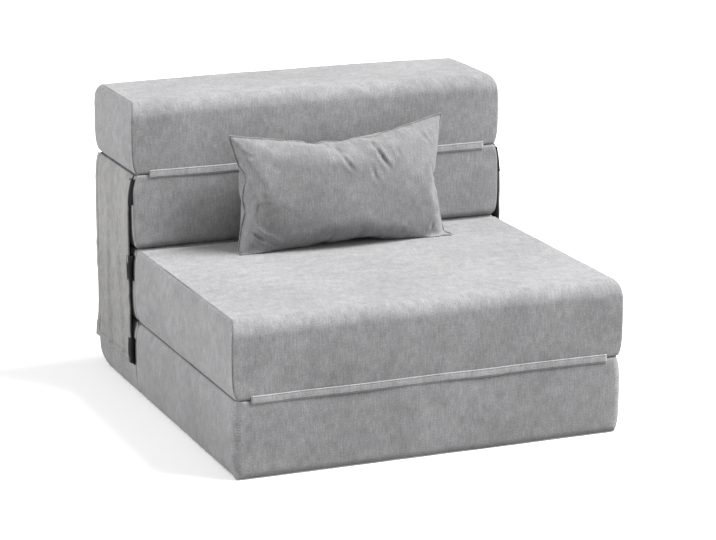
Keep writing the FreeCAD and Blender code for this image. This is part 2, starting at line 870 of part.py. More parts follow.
def pull(name, y_chain, z_middle):
    """A flat pull that hangs in the arch by a round pin and swings over the slider."""
    body = new_body(f"{name}_body")
    half = named("pull_width") / 2
    reach = named("pull_length") - half
    outline = [(as_size(0), -half), (reach, -half), (reach, half), (as_size(0), half)]
    round_end = bow_radius(half * 2, half / 2)
    plate = outline_sketch(body, "Plate", "XZ_Plane", as_size(0), outline, {1: round_end})
    feature(body, "Pad", "PullPlate", plate, named("pull_thickness"), symmetric=True)
    slot_half = named("pull_slot_width") / 2
    slot = [
        (-half, -slot_half), (named("pull_slot_reach"), -slot_half),
        (named("pull_slot_reach"), slot_half), (-half, slot_half),
    ]
    slot_plan = outline_sketch(body, "Slot", "XZ_Plane", as_size(0), slot)
    feature(body, "Pocket", "ArchSlot", slot_plan, named("pull_thickness") * 2, symmetric=True)
    hole = new_sketch(body, "Hole", "XZ_Plane", as_size(0))
    hole.addGeometry(Part.Circle(vector(reach, 0), FreeCAD.Vector(0, 0, 1), mm("pull_hole_radius")), False)
    pin_point(hole, 0, 3, reach, 0)
    constrain(hole, "Radius", 0, size=named("pull_hole_radius"))
    feature(body, "Pocket", "EndHole", hole, named("pull_thickness") * 2, symmetric=True)
    pin = new_sketch(body, "Pin", "XY_Plane", as_size(0))
    pin.addGeometry(Part.Circle(FreeCAD.Vector(), FreeCAD.Vector(0, 0, 1), mm("pull_pin_radius")), False)
    pin_point(pin, 0, 3, 0, 0)
    constrain(pin, "Radius", 0, size=named("pull_pin_radius"))
    feature(body, "Pad", "PinBar", pin, half * 2, symmetric=True)
    x = named("zipper_length") / 2 - named("slider_parking")
    place(body, x, y_chain + pull_axis, z_middle)
    sub_part(body, name)


tape_seat = rear + sewn
for end_name, level in (
    ("base", named("base_zipper_rise")),
    ("upper_back", upper_back_bottom + named("upper_zipper_rise")),
):
    chain_seat = tape_seat + named("zipper_tape_thickness")
    zipper(f"{end_name}_zipper", tape_seat, level)
    slider(f"{end_name}_zipper_slider", chain_seat, level)
    pull(f"{end_name}_zipper_pull", chain_seat, level)


# Check every object, then write one file for each piece

doc.recompute()
faulty = [item.Label for item in doc.Objects if "Invalid" in item.State or "Error" in item.State]
if faulty:
    raise RuntimeError(f"these objects failed: {faulty}")
for piece in SUB_PARTS:
    if piece.Shape.isNull() or not piece.Shape.isValid() or len(piece.Shape.Solids) != 1:
        raise RuntimeError(f"{piece.Label} is not one valid solid")

os.makedirs("parts", exist_ok=True)
for piece in SUB_PARTS:
    piece.Shape.exportStep(os.path.join("parts", f"{piece.Label}.step"))
print(f"{len(SUB_PARTS)} pieces, {sum(piece.Shape.Volume for piece in SUB_PARTS) / 1e9:.4f} cubic metres")
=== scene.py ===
import math

import bpy
import numpy as np
from mathutils import Euler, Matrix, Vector


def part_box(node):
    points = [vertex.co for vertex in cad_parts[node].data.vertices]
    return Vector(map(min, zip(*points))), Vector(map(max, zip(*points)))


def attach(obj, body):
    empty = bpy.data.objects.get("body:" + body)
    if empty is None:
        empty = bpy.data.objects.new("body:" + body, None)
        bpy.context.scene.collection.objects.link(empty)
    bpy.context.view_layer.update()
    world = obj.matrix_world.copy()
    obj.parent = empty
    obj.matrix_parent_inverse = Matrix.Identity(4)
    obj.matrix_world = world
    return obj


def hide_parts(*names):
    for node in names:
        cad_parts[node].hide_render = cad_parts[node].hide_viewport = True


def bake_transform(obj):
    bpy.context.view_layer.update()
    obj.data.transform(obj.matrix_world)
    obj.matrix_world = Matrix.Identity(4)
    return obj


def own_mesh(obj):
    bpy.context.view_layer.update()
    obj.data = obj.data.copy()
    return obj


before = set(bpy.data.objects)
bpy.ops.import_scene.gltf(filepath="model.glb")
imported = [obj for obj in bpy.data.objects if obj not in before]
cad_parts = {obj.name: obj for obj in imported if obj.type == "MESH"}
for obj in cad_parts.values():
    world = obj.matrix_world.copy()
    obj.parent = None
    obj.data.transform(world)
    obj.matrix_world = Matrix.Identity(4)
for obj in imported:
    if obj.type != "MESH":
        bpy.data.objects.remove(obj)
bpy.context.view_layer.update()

# Metres, the same frame as the solids: +X right, +Y rear, +Z up, origin on the floor
MM = 0.001


# Camera, floor, light

CAMERA_PLACE = (-1.8261, -4.5493, 1.526)
CAMERA_ANGLES = (75.247, 0.04, -22.05)
LENS_MM = 142.2
SENSOR_MM = 36


def make_camera():
    data = bpy.data.cameras.new("camera")
    data.lens = LENS_MM
    data.sensor_width = SENSOR_MM
    camera = bpy.data.objects.new("camera", data)
    camera.location = CAMERA_PLACE
    camera.rotation_euler = Euler([math.radians(angle) for angle in CAMERA_ANGLES])
    bpy.context.scene.collection.objects.link(camera)
    bpy.context.scene.camera = camera


def area_light(name, place, aim, size, power):
    data = bpy.data.lights.new(name, "AREA")
    data.shape = "RECTANGLE"
    data.size, data.size_y = size
    data.energy = power
    light = bpy.data.objects.new(name, data)
    light.location = place
    away = np.array(place, float) - np.array(aim, float)
    light.rotation_euler = Vector(away).to_track_quat("Z", "Y").to_euler()
    bpy.context.scene.collection.objects.link(light)


def sun_light(name, towards, strength, spread):
    """A sun as wide as spread degrees, with towards pointing at it."""
    data = bpy.data.lights.new(name, "SUN")
    data.energy = strength
    data.angle = math.radians(spread)
    light = bpy.data.objects.new(name, data)
    light.rotation_euler = Vector(towards).to_track_quat("Z", "Y").to_euler()
    bpy.context.scene.collection.objects.link(light)


def make_lights():
    sun_light("overhead_key", towards=(0.68, -0.30, 1.0), strength=6.4, spread=28)
    area_light("left_softbox", place=(-2.6, 0.1, 0.9), aim=(0, 0, 0.25), size=(1.6, 1.6), power=58)
    area_light("right_softbox", place=(1.3, -0.6, 0.85), aim=(0.2, 0.1, 0.4), size=(0.8, 0.8), power=9)


class Nodes:
    """A short way to write a material's node tree."""

    def __init__(self, tree):
        self.tree = tree
        tree.nodes.clear()

    def add(self, kind, inputs=None, **settings):
        node = self.tree.nodes.new(kind)
        for name, value in settings.items():
            setattr(node, name, value)
        for name, value in (inputs or {}).items():
            self.put(node, name, value)
        return node

    def put(self, node, name, value):
        socket = node.inputs[name]
        if isinstance(value, bpy.types.NodeSocket):
            self.tree.links.new(value, socket)
        else:
            socket.default_value = value

    def maths(self, operation, first, second=0.0):
        node = self.add("ShaderNodeMath", {0: first, 1: second}, operation=operation)
        return node.outputs[0]

    def remap(self, value, low, high, to_low, to_high):
        inputs = {"Value": value, 1: low, 2: high, 3: to_low, 4: to_high}
        return self.add("ShaderNodeMapRange", inputs).outputs[0]

    def mix(self, share, first, second, blend_type="MIX"):
        node = self.add("ShaderNodeMix", data_type="RGBA", blend_type=blend_type)
        self.put(node, 0, share)
        self.put(node, 6, first)
        self.put(node, 7, second)
        return node.outputs[2]

    def times(self, first, second):
        return self.maths("MULTIPLY", first, second)

    def noise(self, vector, scale, detail, **more):
        inputs = {"Vector": vector, "Scale": scale, "Detail": detail, **more}
        return self.add("ShaderNodeTexNoise", inputs).outputs["Fac"]

    def stretched(self, vector, scale, shift=0.0):
        inputs = {"Vector": vector, "Scale": scale, "Location": (shift, shift, 0)}
        return self.add("ShaderNodeMapping", inputs).outputs[0]

    def swing(self, value, low, amount):
        """A noise value turned into a factor that swings round 1 by an amount."""
        return self.remap(value, low, 1 - low, 1 - amount, 1 + amount)

    def painted(self, name):
        return self.add("ShaderNodeAttribute", attribute_name=name).outputs["Fac"]

    def scaled(self, colour, value):
        return self.add("ShaderNodeVectorMath", {0: colour, "Scale": value}, operation="SCALE").outputs[0]

    def bump(self, height, strength, distance):
        inputs = {"Height": height, "Strength": strength, "Distance": distance}
        return self.add("ShaderNodeBump", inputs).outputs[0]

    def surface(self, inputs):
        shader = self.add("ShaderNodeBsdfPrincipled", inputs)
        output = self.add("ShaderNodeOutputMaterial")
        self.put(output, "Surface", shader.outputs[0])


def new_material(name):
    material = bpy.data.materials.new(name)
    material.use_nodes = True
    return material, Nodes(material.node_tree)


def make_world():
    world = bpy.data.worlds.new("studio")
    bpy.context.scene.world = world
    world.use_nodes = True
    nodes = Nodes(world.node_tree)
    path = nodes.add("ShaderNodeLightPath").outputs
    seen = nodes.maths("MAXIMUM", path["Is Camera Ray"], path["Is Glossy Ray"])
    seen = nodes.maths("MAXIMUM", seen, path["Is Transmission Ray"])
    strength = nodes.remap(seen, 0, 1, 0.36, 1.0)
    background = nodes.add("ShaderNodeBackground", {"Color": (1, 1, 1, 1), "Strength": strength})
    output = nodes.add("ShaderNodeOutputWorld")
    nodes.put(output, "Surface", background.outputs[0])


def make_floor():
    half = 9.0
    drop = -0.4 * MM
    corners = [(-half, -half, drop), (half, -half, drop), (half, half, drop), (-half, half, drop)]
    mesh = bpy.data.meshes.new("floor")
    mesh.from_pydata(corners, [], [(0, 1, 2, 3)])
    floor = bpy.data.objects.new("floor", mesh)
    bpy.context.scene.collection.objects.link(floor)
    material, nodes = new_material("pale_floor")
    place = nodes.add("ShaderNodeTexCoord").outputs["Object"]
    cloud = nodes.noise(place, 3.0, 4.0)
    colour = nodes.mix(cloud, (0.34, 0.34, 0.34, 1), (0.37, 0.37, 0.37, 1))
    seen = nodes.add("ShaderNodeLightPath").outputs["Is Camera Ray"]
    nodes.surface(
        {
            "Base Color": nodes.mix(seen, colour, (0.97, 0.97, 0.97, 1)),
            "Roughness": 0.9,
            "Specular IOR Level": 0.1,
            "Emission Color": (1, 1, 1, 1),
            "Emission Strength": nodes.times(seen, 0.24),
        }
    )
    mesh.materials.append(material)


# Fabrics: each weave lies in metres on the piece, along the UV map named weave

SLUB = 0.15
GRAIN = 0.26
MOTTLE = 0.20


def fabric_material(name, colour):
    material, nodes = new_material(name)
    weave = nodes.add("ShaderNodeUVMap", uv_map="weave").outputs["UV"]
    place = nodes.add("ShaderNodeTexCoord").outputs["Object"]

    def streaks(across, along, shift):
        return nodes.noise(nodes.stretched(weave, (across, along, 1), shift), 1.0, 2.0)

    slubs = streaks(330, 55, 0.0)
    cross = streaks(90, 600, 7.0)
    specks = streaks(620, 420, 3.0)
    cloud = nodes.noise(place, 9.0, 5.0, Roughness=0.6)
    brushed = nodes.noise(place, 55.0, 3.0)
    value = nodes.swing(slubs, 0.25, SLUB)
    value = nodes.times(value, nodes.swing(cross, 0.25, SLUB / 2))
    value = nodes.times(value, nodes.swing(specks, 0.25, GRAIN))
    value = nodes.times(value, nodes.swing(cloud, 0.3, MOTTLE / 2))
    value = nodes.times(value, nodes.swing(brushed, 0.3, MOTTLE / 2))
    # The seam value darkens the colour: painted shade in the seams' valleys, along the pillow's edge and on
    # the flaps' backs, with dust and stitch lines as well
    value = nodes.times(value, nodes.remap(nodes.painted("stitch_dust_and_shade"), 0, 1, 1.0, 0.25))
    value = nodes.times(value, nodes.remap(nodes.painted("rub"), 0, 1, 1.0, 1.08))
    height = nodes.maths("ADD", slubs, nodes.times(specks, 0.6))
    height = nodes.maths("ADD", height, nodes.times(cross, 0.5))
    nodes.surface(
        {
            "Base Color": nodes.scaled(colour, value),
            "Roughness": nodes.remap(specks, 0.2, 0.8, 0.82, 1.0),
            "Specular IOR Level": 0.15,
            "Sheen Weight": 0.20,
            "Sheen Roughness": 0.45,
            "Normal": nodes.bump(height, 0.35, 0.4 * MM),
        }
    )
    return material


def foam_material():
    material, nodes = new_material("open_cell_foam")
    place = nodes.add("ShaderNodeTexCoord").outputs["Object"]
    cells = nodes.add("ShaderNodeTexVoronoi", {"Vector": place, "Scale": 900.0}).outputs["Distance"]
    cloud = nodes.noise(place, 12.0, 3.0)
    colour = nodes.mix(cells, (0.62, 0.55, 0.36, 1), (0.86, 0.80, 0.60, 1))
    colour = nodes.mix(nodes.remap(cloud, 0.3, 0.7, 0, 0.35), colour, (0.80, 0.70, 0.45, 1))
    nodes.surface({"Base Color": colour, "Roughness": 0.95, "Normal": nodes.bump(cells, 0.6, 0.5 * MM)})
    return material


def metal_material():
    material, nodes = new_material("zinc_plating")
    place = nodes.add("ShaderNodeTexCoord").outputs["Object"]
    brushed = nodes.noise(nodes.stretched(place, (200, 200, 2600)), 1.0, 3.0)
    wear = nodes.noise(place, 420.0, 3.0)
    colour = nodes.mix(nodes.remap(wear, 0.35, 0.7, 0, 1), (0.52, 0.52, 0.53, 1), (0.66, 0.66, 0.66, 1))
    nodes.surface(
        {
            "Base Color": colour,
            "Metallic": 1.0,
            "Roughness": nodes.remap(brushed, 0.2, 0.8, 0.28, 0.45),
            "Normal": nodes.bump(brushed, 0.15, 0.05 * MM),
        }
    )
    return material


def wadding_material():
    material, nodes = new_material("polyester_wadding")
    place = nodes.add("ShaderNodeTexCoord").outputs["Object"]
    fibre = nodes.noise(nodes.stretched(place, (160, 700, 420)), 1.0, 5.0, Distortion=1.5)
    tufts = nodes.noise(place, 45.0, 3.0)
    nodes.surface(
        {
            "Base Color": nodes.mix(fibre, (0.78, 0.78, 0.76, 1), (0.93, 0.93, 0.92, 1)),
            "Roughness": nodes.remap(tufts, 0.3, 0.7, 0.85, 1.0),
            "Sheen Weight": 0.5,
            "Normal": nodes.bump(nodes.maths("ADD", fibre, tufts), 0.5, 0.8 * MM),
        }
    )
    return material


def tape_material(name, colour, ribs):
    """Woven tape: fine ribs across a dull, slightly uneven ground."""
    material, nodes = new_material(name)
    weave = nodes.add("ShaderNodeUVMap", uv_map="weave").outputs["UV"]
    place = nodes.add("ShaderNodeTexCoord").outputs["Object"]
    inputs = {"Vector": weave, "Scale": ribs, "Distortion": 0.4, "Detail": 2.0}
    rib = nodes.add("ShaderNodeTexWave", inputs, bands_direction="Y").outputs["Fac"]
    cross = nodes.add("ShaderNodeTexWave", inputs, bands_direction="X").outputs["Fac"]
    lint = nodes.noise(place, 300.0, 4.0)
    pattern = nodes.times(rib, cross)
    value = nodes.times(nodes.remap(pattern, 0, 1, 0.7, 1.2), nodes.remap(lint, 0.3, 0.7, 0.8, 1.25))
    value = nodes.times(value, nodes.remap(nodes.painted("stitch_dust_and_shade"), 0, 1, 1.0, 0.6))
    nodes.surface(
        {
            "Base Color": nodes.scaled(colour, value),
            "Roughness": nodes.remap(lint, 0.3, 0.7, 0.7, 0.95),
            "Specular IOR Level": 0.2,
            "Normal": nodes.bump(pattern, 0.4, 0.3 * MM),
        }
    )
    return material


# Waves that break up straight cloth, the same on every run


def waves(points, seed, short, long, count=14):
    """A smooth field in about -1 to 1 over points (rows), of wavelengths from short to long."""
    points = np.asarray(points, float)
    random = np.random.default_rng(seed)
    total = np.zeros(len(points))
    for _ in range(count):
        direction = random.normal(size=points.shape[1])
        direction /= np.linalg.norm(direction)
        length = short * (long / short) ** random.random()
        total += np.sin(points @ direction * 2 * math.pi / length + random.random() * 2 * math.pi)
    return total / math.sqrt(count)

def bell(distance, width):
    return np.exp(-((distance / width) ** 2))


def running(lengths):
    """The distance covered before each step and after the last one."""
    return np.append(0, np.cumsum(lengths))


def border(grid):
    """A grid's border, once round from its first corner."""
    return np.concatenate([grid[0, :-1], grid[:-1, -1], grid[-1, :0:-1], grid[:0:-1, 0]])


# Meshes


class Build:
    """Collects rows of vertices, faces with their weave coordinates, and vertex values."""

    def __init__(self):
        self.vertices = []
        self.count = 0
        self.faces = []
        self.weave = []
        # The seam value darkens the cloth: stitch lines and dust, and painted shade in sewn seams and on the
        # flaps' backs; the rub value lightens worn edges
        self.values = {"stitch_dust_and_shade": [], "rub": []}

    def rows(self, points, stitch_dust_and_shade=0.0, rub=0.0):
        """Adds points (any shape by 3) and returns their indices in the same shape."""
        points = np.asarray(points, float)
        shape = points.shape[:-1]
        size = int(np.prod(shape))
        self.vertices.append(points.reshape(-1, 3))
        for name, value in (("stitch_dust_and_shade", stitch_dust_and_shade), ("rub", rub)):
            self.values[name].append(np.broadcast_to(value, shape).reshape(-1))
        index = np.arange(self.count, self.count + size).reshape(shape)
        self.count += size
        return index

    def quads(self, index, uv, closed=False, flip=False):
        """Faces over a grid of indices; uv is the same grid, with one more column if it is closed."""
        if closed:
            index = np.concatenate([index, index[:, :1]], axis=1)
        corners = [(0, 0), (0, 1), (1, 1), (1, 0)]
        if flip:
            corners.reverse()
        high, wide = index.shape[0] - 1, index.shape[1] - 1
        faces = [index[a : a + high, b : b + wide].reshape(-1) for a, b in corners]
        places = [uv[a : a + high, b : b + wide].reshape(-1, 2) for a, b in corners]
        self.faces.extend(np.stack(faces, axis=1).tolist())
        self.weave.append(np.stack(places, axis=1).reshape(-1, 2))

    def polygon(self, index, uv):
        self.faces.append(list(index))
        self.weave.append(np.asarray(uv, float))

    def piece(self, name, material, offset=(0, 0)):
        mesh = bpy.data.meshes.new(name)
        mesh.from_pydata(np.concatenate(self.vertices).tolist(), [], self.faces)
        layer = mesh.uv_layers.new(name="weave")
        uv = np.concatenate(self.weave) + np.asarray(offset)
        layer.data.foreach_set("uv", uv.astype(np.float32).ravel())
        for value_name, rows in self.values.items():
            attribute = mesh.attributes.new(value_name, "FLOAT", "POINT")
            attribute.data.foreach_set("value", np.concatenate(rows).astype(np.float32))
        mesh.polygons.foreach_set("use_smooth", [True] * len(mesh.polygons))
        mesh.materials.append(material)
        mesh.update()
        piece = bpy.data.objects.new(name, mesh)
        bpy.context.scene.collection.objects.link(piece)
        return piece


# Foam blocks in their covers

# The kinds of point round a block's side view: four straight runs, then the arc after each
BOTTOM, TOP, FRONT = 0, 2, 3
FIRST_ARC = 4
REAR_BOTTOM_ARC, FRONT_TOP_ARC, FRONT_BOTTOM_ARC = 4, 6, 7

SIDE_BULGE = 8 * MM
FRONT_CROWN = 1.5 * MM
CROWN_REACH = 378 * MM
SEAT_SWELL = 3 * MM
SEAM_STEPS = np.array([0, 0.7, 1.5, 2.6, 4.2, 6.5, 10, 15, 22, 32, 44]) * MM
SEAM_DEPTH = 1.3 * MM
SEAM_WIDTH = 1.7 * MM
# Width of the painted shade, with dust, that darkens each seam
SEAM_SHADE_WIDTH = 1.5 * MM
# How far an edge is rounded, and 1 where it is sewn or 0 where it isn't
SEWN_EDGE = (3.4 * MM, 1.0)
PUCKER = 0.28 * MM
RUB_REACH = 7 * MM
BLOCK_HALF = 350 * MM
GRID = 6 * MM


class Profile:
    """A block's rounded side view, sampled once and inset as needed."""

    def __init__(self, low, high, radii):
        self.low, self.high = low, high
        front_bottom, front_top, rear_top, rear_bottom = radii
        self.radii = [rear_bottom, rear_top, front_top, front_bottom]
        depth, height = high[0] - low[0], high[1] - low[1]
        runs = [depth, height, depth, height]
        self.line_steps = [max(4, int(run / GRID)) for run in runs]
        self.arc_steps = [max(5, int(radius * math.pi / 2 / (3.5 * MM))) for radius in self.radii]
        kinds = []
        for corner in range(4):
            kinds += [corner] * (self.line_steps[corner] - 1)
            kinds += [corner + FIRST_ARC] * (self.arc_steps[corner] + 1)
        self.kind = np.array(kinds)

    def at(self, inset):
        """Points, normals and line shares (-1 to 1 along each straight run) at an inset."""
        y0, z0 = self.low[0] + inset, self.low[1] + inset
        y1, z1 = self.high[0] - inset, self.high[1] - inset
        least = 0.4 * MM
        radii = [max(radius - inset, least) for radius in self.radii]
        signs = [(1, -1), (1, 1), (-1, 1), (-1, -1)]
        centres = []
        for (sy, sz), radius in zip(signs, radii):
            centre_y = y1 - radius if sy > 0 else y0 + radius
            centre_z = z1 - radius if sz > 0 else z0 + radius
            centres.append((centre_y, centre_z))
        arcs = []
        for corner in range(4):
            angles = math.radians(90 * corner - 90) + np.linspace(0, math.pi / 2, self.arc_steps[corner] + 1)
            normal = np.stack([np.cos(angles), np.sin(angles)], axis=1)
            arcs.append((np.array(centres[corner]) + normal * radii[corner], normal))
        points, normals, shares = [], [], []
        for corner in range(4):
            start, end = arcs[corner - 1][0][-1], arcs[corner][0][0]
            along = np.linspace(0, 1, self.line_steps[corner] + 1)[1:-1, None]
            points += [start + (end - start) * along, arcs[corner][0]]
            normals += [np.repeat(arcs[corner][1][:1], len(along), axis=0), arcs[corner][1]]
            shares += [along[:, 0] * 2 - 1, np.ones(len(arcs[corner][0]))]
        return np.concatenate(points), np.concatenate(normals), np.concatenate(shares)


def fillet_drop(distance, radius):
    """How far a face falls towards a rounded edge, by the distance from that edge."""
    radius = np.maximum(radius, 1e-6)
    return 0.293 * radius * np.clip(1 - distance / radius, 0, 1) ** 2.4


def side_bulge(z, low, high):
    """The foam fills the side panel out, flat in its middle and round towards its seams."""
    share = np.abs(z - (low + high) / 2) / ((high - low) / 2)
    return SIDE_BULGE * (1 - np.clip(share, 0, 1) ** 4.5)


def cushion(
    name, body, node, radii, material, seed,
    top_crown=0.0, front_crown=0.0, swell=0.0, corner=0.0, bow=0.0, edges=None,
):
    """A block's cover: a wrap round the profile and a bulging panel at each end, sewn together."""
    low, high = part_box(node)
    y0, z0, y1, z1 = low.y + front_crown, low.z, high.y, high.z - top_crown
    half = high.x - SIDE_BULGE
    profile = Profile((y0, z0), (y1, z1), radii)
    edges = edges or {}
    edge = np.array([edges.get(kind, SEWN_EDGE)[0] for kind in profile.kind])
    sewn = np.array([edges.get(kind, SEWN_EDGE)[1] for kind in profile.kind], float)

    def side_x(y, z):
        x = half + side_bulge(np.clip(z, z0, z1), z0, z1)
        if corner:
            near = np.clip(corner - (y - y0), 0, corner)
            x = x - (corner - np.sqrt(np.maximum(corner**2 - near**2, 0)))
        return x

    points, normals, shares = profile.at(0)
    loop = np.concatenate([points, points[:1]])
    runs = running(np.linalg.norm(np.diff(loop, axis=0), axis=1))
    along = runs[:-1]
    ends = side_x(points[:, 0], points[:, 1])

    def seam_dip(distance, side):
        """The valley along the seam, with small puckers that fade away from it."""
        pucker = waves(np.stack([along + side * 3.1], axis=1), seed + 5, 9 * MM, 40 * MM, 10)
        valley = SEAM_DEPTH * bell(distance, SEAM_WIDTH) * sewn
        ripple = PUCKER * pucker * np.exp(-distance / (9 * MM)) * sewn
        return valley + ripple * (1 - bell(distance, 2 * MM))

    middle = np.linspace(0, 1, max(6, int(2 * half / (9 * MM))) + 1)
    stations = [(-1, step) for step in SEAM_STEPS]
    stations += [(0, share) for share in middle[1:-1]]
    stations += [(1, step) for step in SEAM_STEPS[::-1]]
    crown = np.where(profile.kind == TOP, swell, 0) + np.where(profile.kind == FRONT, front_crown, 0)
    crown = crown * (1 - shares**2)
    build = Build()
    rows, stitch_and_shade_rows, rubs, places = [], [], [], []
    for side, value in stations:
        if side:
            distance = np.full(len(points), value)
            x = side * (ends - value)
        else:
            reach = ends - SEAM_STEPS[-1]
            x = -reach + 2 * reach * value
            distance = ends - np.abs(x)
        share = 1 - (x / CROWN_REACH) ** 2
        out = crown * share - fillet_drop(distance, edge) - seam_dip(distance, side)
        flat = np.stack([x, points[:, 0], points[:, 1]], axis=1)
        out = out + 0.35 * MM * waves(flat, seed, 70 * MM, 240 * MM)
        row = points + normals * out[:, None]
        lifted = np.clip((row[:, 1] - (z0 + z1) / 2) / ((z1 - z0) / 2), 0, 1)
        row[:, 1] += bow * lifted * share
        rows.append(np.stack([x, row[:, 0], row[:, 1]], axis=1))
        # The wrap's side of each seam is darkened: painted shade in the seam's valley, with dust
        stitch_and_shade_rows.append(bell(distance, SEAM_SHADE_WIDTH) * sewn)
        rubs.append(np.exp(-distance / RUB_REACH))
        places.append(np.stack([np.append(x, x[0]), runs], axis=1))
    rows = np.array(rows)
    for side, first in ((-1, 0), (1, -1)):
        rows[first, :, 0] -= side * (fillet_drop(0, edge) + SEAM_DEPTH * sewn)
    wrap = build.rows(rows, np.array(stitch_and_shade_rows), np.array(rubs))
    build.quads(wrap, np.array(places), closed=True)

    reach = (z1 - z0) / 2 - 2 * MM
    insets = [step for step in SEAM_STEPS[1:] if step < reach - 4 * MM] + [reach]
    for side, first in ((-1, 0), (1, -1)):
        ring_uv = np.stack([points[:, 0], points[:, 1]], axis=1)
        rings, uvs = [wrap[first]], [ring_uv]
        for inset in insets:
            inner, _, _ = profile.at(inset)
            distance = np.full(len(inner), inset)
            x = side_x(inner[:, 0], inner[:, 1]) - fillet_drop(distance, edge) - seam_dip(distance, side)
            flat = np.stack([side * x, inner[:, 0], inner[:, 1]], axis=1)
            fade = 1 - np.exp(-inset / (12 * MM))
            x = x + 0.5 * MM * waves(flat, seed + 1, 60 * MM, 200 * MM) * fade
            ring = np.stack([side * x, inner[:, 0], inner[:, 1]], axis=1)
            # The panel's side of each seam gets the same painted shade, with dust
            rings.append(build.rows(ring, bell(distance, SEAM_SHADE_WIDTH) * sewn, np.exp(-distance / RUB_REACH)))
            uvs.append(inner)
        rings, uvs = np.array(rings), np.array(uvs)
        uvs = np.concatenate([uvs, uvs[:, :1]], axis=1) + (0.31, 0.17)
        build.quads(rings, uvs, closed=True, flip=side < 0)
        close_panel(build, profile, rings[-1], uvs[-1], side)
    piece = build.piece(name, material, offset=(seed * 0.37, seed * 0.61))
    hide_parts(node)
    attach(piece, body)
    return piece


def close_panel(build, profile, ring, uv, side):
    """Closes the narrow slot that the innermost ring leaves: quads along it and a cap at each end."""
    bottom = np.flatnonzero(profile.kind == BOTTOM)
    top = np.flatnonzero(profile.kind == TOP)[::-1]
    count = min(len(bottom), len(top))
    strip = np.stack([bottom[:count], top[:count]])
    build.quads(ring[strip], uv[strip], flip=side < 0)
    rear = list(range(bottom[-1], top[-1] + 1))
    front = list(range(top[0], len(ring))) + [0]
    for loop in (rear, front):
        loop = loop if side > 0 else loop[::-1]
        build.polygon(ring[loop], uv[loop])


# Cloth over the hinges between the layers

BAND_LIFT = 0.45 * MM
BAND_THICKNESS = 1.3 * MM


def hinge_band(name, lower, upper, material, seed):
    """A flat strip of cover cloth that bridges the slit between two layers."""
    low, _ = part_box(lower)
    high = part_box(upper)[1]
    outward = -1 if low.y < 0.3 else 1
    half = high.x - (12 * MM if outward < 0 else 0)
    face = (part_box(lower)[1].y + 0.25 * MM) if outward < 0 else (low.y - 0.25 * MM)
    wide = high.z - low.z
    near, far = BAND_LIFT, BAND_LIFT + BAND_THICKNESS
    steps = 14
    shares = [index / steps for index in range(steps + 1)]
    outline = np.array([(far, share) for share in shares] + [(near, share) for share in shares[::-1]])
    build = Build()
    rows, stitch_and_shade_rows, uvs = [], [], []
    across = outline[:, 1]
    around = running(np.abs(np.diff(np.append(across, across[0]) * wide)))
    inner = np.minimum(across, 1 - across) * wide
    belly = np.sin(across * math.pi) ** 0.6
    edge = 1 - np.exp(-inner / (0.8 * MM))
    outside = outline[:, 0] > (near + far) / 2
    depth = np.where(outside, near + (far - near) * (0.35 + 0.65 * edge), near) + belly * (0.5 * MM)
    for x in np.linspace(-half, half, 170):
        drift = waves([[x, 0.0]], seed, 60 * MM, 300 * MM)[0]
        lift = waves([[x, 1.0]], seed + 1, 30 * MM, 160 * MM)[0]
        z = low.z + across * wide + 0.35 * MM * drift
        y = face + outward * (depth + 0.15 * MM * lift)
        rows.append(np.stack([np.full(len(z), x), y, z], axis=1))
        stitch_and_shade_rows.append(0.8 * bell(inner - 2.2 * MM, 0.45 * MM))
        uvs.append(np.stack([np.full(len(around), x), around], axis=1))
    index = build.rows(np.array(rows), np.array(stitch_and_shade_rows), 0.5)
    build.quads(index, np.array(uvs), closed=True, flip=outward > 0)
    ends = [(index[0], uvs[0]), (index[-1][::-1], uvs[-1][:-1][::-1])]
    for loop, uv in ends:
        uv = uv[: len(loop)]
        if outward < 0:
            loop, uv = loop[::-1], uv[::-1]
        build.polygon(loop, uv)
    piece = build.piece(name, material, offset=(seed * 0.2, 0))
    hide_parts(lower, upper)
    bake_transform(piece)
    return piece


# The pillow: two layers sewn round the edge and blown up, then fitted, stood on its ears and creased

PILLOW_CUT = (436 * MM, 252 * MM)
PILLOW_CELLS = (88, 50)
PILLOW_LEAN = 8.0
PILLOW_MIDDLE = (9 * MM, 71 * MM, 366 * MM)
# The core's size as a share of the pillow's, and the cells that it leaves out round the edge
WADDING_SIZE = (0.95, 0.90, 0.93)
WADDING_INSET = 7
# The lower corners fold below this line, round this radius, between these distances from the middle
EAR_LINE = -88 * MM
EAR_RADIUS = 9 * MM
EAR_TURN = math.radians(80)
EAR_INNER = 112 * MM
EAR_OUTER = 160 * MM
CREASE_GAIN = 2.1
PILLOW_CREASES = [
    # start and end across and up the front (mm), depth (mm), width (mm)
    ((-16, 76), (4, 40), 3.4, 5.0),
    ((52, 82), (76, 38), 4.2, 5.5),
    ((40, 46), (52, 14), 1.8, 5.0),
    ((92, 84), (100, 58), 1.6, 4.5),
    ((150, 98), (168, 76), 2.0, 4.0),
    ((172, 96), (180, 70), 1.4, 4.0),
    ((-186, 8), (-158, 4), 3.0, 4.0),
    ((-176, -2), (-180, -44), 2.6, 3.6),
    ((-168, -12), (-172, -52), 1.8, 3.6),
    ((-182, -54), (-150, -76), 4.4, 5.5),
    ((-186, -70), (-164, -92), 2.6, 4.5),
    ((-150, -74), (-132, -86), 2.4, 5.0),
    ((172, -62), (160, -84), 2.4, 4.5),
    ((-196, 88), (-168, 74), 2.0, 4.5),
]


